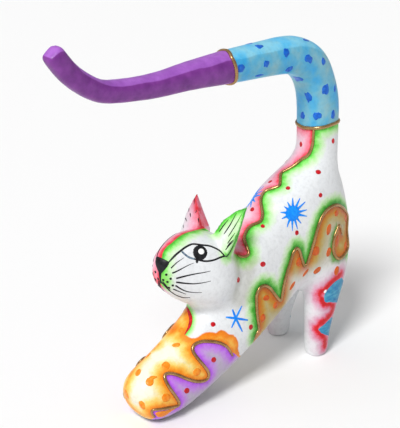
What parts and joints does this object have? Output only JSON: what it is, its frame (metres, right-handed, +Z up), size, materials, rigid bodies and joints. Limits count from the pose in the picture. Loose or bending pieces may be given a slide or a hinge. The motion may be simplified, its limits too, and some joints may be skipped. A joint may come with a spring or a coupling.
{
  "type": "cat figurine",
  "caption": "Carved wooden cat ornament stretching with its chest low, rump high and tail carried forward over its back.",
  "frame": {"origin": "on the ground, under the middle of the bounding box", "axes": "+Z up, the cat faces -Y, its left side is +X"},
  "size_m": [0.066, 0.2946, 0.3002],
  "materials": {
    "painted_wood": "airbrushed and hand-painted under satin varnish"
  },
  "bodies": {
    "root": {"cat": "painted_wood"}
  },
  "joints": []
}
